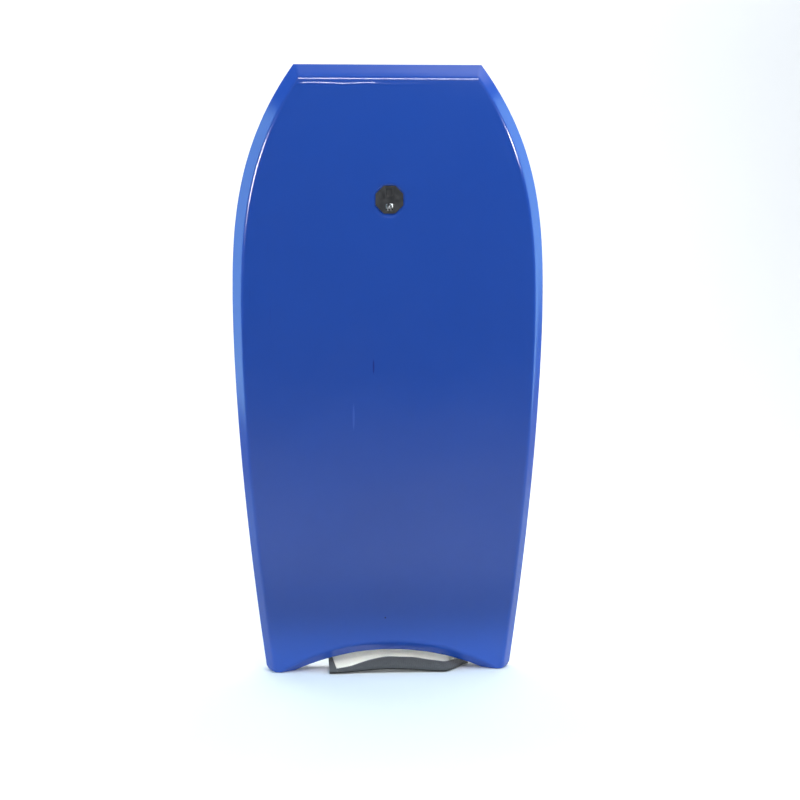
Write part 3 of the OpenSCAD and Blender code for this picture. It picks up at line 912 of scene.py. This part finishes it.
def finish_cad(node, material, bevel=0.0):
    """A CAD node that stays, with its material and softened edges."""
    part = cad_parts[node]
    part.data.materials.clear()
    part.data.materials.append(material)
    if bevel:
        part.modifiers.new("weld", "WELD").merge_threshold = 0.00001
        soft = part.modifiers.new("bevel", "BEVEL")
        soft.width = bevel
        soft.segments = 3
        soft.limit_method = "ANGLE"
        soft.angle_limit = math.radians(35)
        soft.harden_normals = True


def make_board():
    board_sheet("slick_sheet", SLICK_EDGE, SLICK_FACE, 0.005, 0.003, BARREL_R + 0.0001,
                slick_details, SLICK, "slick_skin")
    board_sheet("deck_sheet", DECK_EDGE, DECK_FACE, 0.009, 0.004, BARREL_R + 0.0001,
                deck_details, DECK, "deck_skin")
    foam_strip("rail_right", 0, TIP_END, "right_rail")
    foam_strip("rail_left", LAST - TIP_END, LAST, "left_rail")
    foam_strip("rail_nose", LAST, LAST + COLUMNS, "nose_strip")
    foam_strip("rail_tail", TIP_END, LAST - TIP_END, "tail_strip")
    finish_cad("foam_core", CORE)
    finish_cad("plug_base", PLUG, 0.0005)
    finish_cad("plug_cap", PLUG, 0.0005)


def make_leash():
    cord = make_cord()
    upper = Vector((0.0, SWIVEL_Y, UPPER_EYE_Z - BARREL_OFFSET))
    lower = LOWER_EYE - Vector((BARREL_OFFSET, 0.0, 0.0))
    down, left = (0, 0, -1), (-1, 0, 0)
    start = Vector(down) * CORD_END_START
    upper_end = ribbed_end("upper_relief", upper + start, down, "board", "upper_cord_end")
    lower_end = ribbed_end("lower_relief", lower + Vector(left) * CORD_END_START, left, "board",
                           "lower_cord_end")
    upper_barrel = swivel_barrel("upper_swivel", upper, (0, 0, 1), "upper_barrel",
                                 "upper_swivel_barrel")
    lower_barrel = swivel_barrel("lower_swivel", lower, (1, 0, 0), "lower_barrel",
                                 "lower_swivel_barrel")
    finish_cad("upper_swivel_eye", METAL)
    finish_cad("lower_swivel_eye", METAL)
    braided_string()
    string_knot()


def make_cuff():
    shell = cuff_layer("cuff_body", (0.0, 1.0), (0.0, 1.0), (-SHELL, 0.0), shell_ripple,
                       NEOPRENE, "cuff_shell")
    lining = cuff_layer("cuff_lining_cloth", (slanted_end, 1.0), (seam, LINING_TOP),
                        (0.0, LINING_SHEET), lining_ripple, LINING, "cuff_lining")
    cuff_layer("cuff_tape", (slanted_end, 1.0), (0.0, seam), (0.0, SHELL), binding_ripple,
               BINDING, "cuff_binding", (300, 12))
    cuff_layer("cuff_end_tape", (0.0, slanted_end), (0.0, LINING_TOP), (0.0, SHELL),
               shell_ripple, BINDING, "cuff_end_binding", (12, 30))
    cuff_layer("cuff_loop_pile", (0.04, 0.34), (0.15, 0.85), (-SHELL - 0.0012, -SHELL),
               shell_ripple, PILE, "cuff_loop_patch", (60, 20), 0.0005)
    cuff_layer("cuff_hook_pile", (0.86, 0.99), (0.52, 0.85),
               (LINING_SHEET, LINING_SHEET + 0.0012), shell_ripple, HOOKS, "cuff_hook_patch",
               (30, 16), 0.0005)
    stitches = stitch_row("cuff_stitches", 0.06, 0.985, -0.035, SHELL)
    cuff_tab()


make_leash()
make_board()
make_cuff()

# --- Floor and light -------------------------------------------------------------------------


def studio_floor():
    """A pale paper sweep: floor in front, and a wall behind that it curves up into."""
    profile = [Vector((0, -7.0, 0)), Vector((0, 2.2, 0))]
    for i in range(1, 13):
        a = math.pi / 2 * i / 12
        profile.append(Vector((0, 2.2 + 1.4 * math.sin(a), 1.4 * (1 - math.cos(a)))))
    profile.append(Vector((0, 3.6, 7.0)))
    bm = bmesh.new()
    rows = [[p + Vector((x, 0, -0.0002)) for p in profile] for x in (-7.0, 7.0)]
    add_rows(bm, rows, closed=False, caps=False)
    outward(bm)
    data = bpy.data.meshes.new("paper_sweep")
    bm.to_mesh(data)
    bm.free()
    for face in data.polygons:
        face.use_smooth = True
    floor = bpy.data.objects.new("paper_sweep", data)
    bpy.context.scene.collection.objects.link(floor)
    paint = Paint("paper", 0.8)
    paint.colour(paint.colours(paint.noise(2.0, 3.0), (0.80, 0.81, 0.82), (0.83, 0.84, 0.85)))
    data.materials.append(paint.material)


def softbox(name, place, target, size, power, colour=(1.0, 1.0, 1.0), shown=True):
    """A rectangular area light aimed at a point."""
    data = bpy.data.lights.new(name, "AREA")
    data.shape = "RECTANGLE"
    data.size, data.size_y = size
    data.energy = power
    data.color = colour
    lamp = bpy.data.objects.new(name, data)
    lamp.location = place
    lamp.rotation_mode = "QUATERNION"
    aim = Vector(target) - Vector(place)
    lamp.rotation_quaternion = aim.to_track_quat("-Z", "Y")
    lamp.visible_camera = False
    lamp.visible_glossy = shown
    bpy.context.scene.collection.objects.link(lamp)
    return lamp


def mirrored(name, place, target, size, power):
    """A card that is only seen as a reflection."""
    softbox(name, place, target, size, power).visible_diffuse = False


def studio_light():
    world = bpy.data.worlds.new("studio")
    world.use_nodes = True
    back = world.node_tree.nodes["Background"]
    back.inputs["Color"].default_value = (0.84, 0.91, 1.0, 1.0)
    back.inputs["Strength"].default_value = 0.24
    bpy.context.scene.world = world
    sky = (0.45, 0.8, 1.0)
    softbox("key", (0.8, -1.7, 2.6), (0, 0, 0.6), (1.6, 1.0), 40.0, shown=False)
    softbox("top_back", (0.3, 0.9, 3.2), (0, 0.3, 0), (4.5, 1.6), 62.0)
    softbox("left_side", (-1.6, -0.05, 1.1), (0, -0.05, 1.1), (0.9, 1.8), 24.0, sky)
    softbox("right_side", (1.6, -0.05, 1.1), (0, -0.05, 1.1), (0.9, 1.8), 22.0, sky)
    softbox("back_wall", (0, 1.4, 3.6), (0, 3.4, 1.0), (4.6, 1.0), 100.0)
    tail_fill = softbox("tail_fill", (0, -0.9, 0.09), (0, 0, 0.012), (0.5, 0.05), 0.12, shown=False)
    tail_fill.data.spread = math.radians(12)
    mirrored("floor_sheen", (0, -2.0, 0.01), (0, -2.0, 1.0), (3.2, 2.55), 16.0)
    mirrored("nose_line", (0, -1.1, 2.45), (0, 0, 1.02), (1.6, 0.14), 42.0)
    mirrored("left_line", (-1.2, -1.2, 1.25), (-0.2, 0, 0.95), (0.25, 0.6), 42.0)
    mirrored("right_line", (1.22, -1.05, 1.42), (0.2, 0, 0.97), (0.25, 0.3), 26.0)


studio_floor()
studio_light()
bpy.context.scene.view_settings.view_transform = "Standard"
